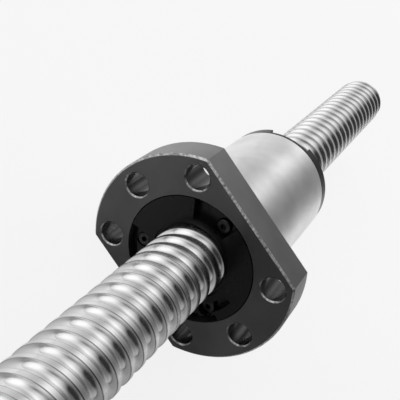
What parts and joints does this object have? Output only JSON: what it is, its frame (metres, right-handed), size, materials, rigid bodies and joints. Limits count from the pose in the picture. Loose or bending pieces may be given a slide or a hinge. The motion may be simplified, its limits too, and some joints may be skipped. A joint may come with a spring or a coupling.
{
  "type": "ball screw",
  "caption": "Ball screw: threaded steel shaft in a round flanged nut with two flats, black end caps and recirculating balls.",
  "frame": {"origin": "on the screw axis, in the nut flange's mounting face on the barrel side", "axes": "+X along the screw axis from the flange towards the barrel's end, +Z square to the flange's flats"},
  "size_m": [0.25, 0.058, 0.044],
  "materials": {
    "nut_steel": "satin ground bearing steel",
    "screw_steel": "polished ground steel",
    "ball_steel": "polished",
    "cap_plastic": "moulded black plastic, satin",
    "wiper_plastic": "moulded black plastic",
    "fastener_steel": "black oxide"
  },
  "bodies": {
    "nut": {"nut_flange": "nut_steel", "nut_barrel": "nut_steel", "front_end_cap": "cap_plastic", "rear_end_cap": "cap_plastic", "lube_port_plug": "fastener_steel", "front_cap_screw_1": "fastener_steel", "front_cap_screw_2": "fastener_steel", "front_cap_screw_3": "fastener_steel", "rear_cap_screw_1": "fastener_steel", "rear_cap_screw_2": "fastener_steel", "rear_cap_screw_3": "fastener_steel", "loaded_balls_track_1": "ball_steel", "return_balls_track_1": "ball_steel", "front_turn_balls_track_1": "ball_steel", "rear_turn_balls_track_1": "ball_steel", "loaded_balls_track_2": "ball_steel", "return_balls_track_2": "ball_steel", "front_turn_balls_track_2": "ball_steel", "rear_turn_balls_track_2": "ball_steel"},
    "wiper_rings": {"front_wiper_ring": "wiper_plastic", "rear_wiper_ring": "wiper_plastic"},
    "screw": {"screw_shaft": "screw_steel"}
  },
  "joints": [
    {"name": "screw_turn", "type": "hinge", "parent": "nut", "child": "wiper_rings", "pos_m": [0, 0, 0], "axis": [1, 0, 0], "range_deg": [-3603.6, 2883.6]},
    {"name": "screw_travel", "type": "slide", "parent": "wiper_rings", "child": "screw", "axis": [1, 0, 0], "range_m": [-0.1, 0.08]}
  ],
  "couplings": [
    {"joint": "screw_turn", "follows": "screw_travel", "rad_per_m": 628.32}
  ]
}
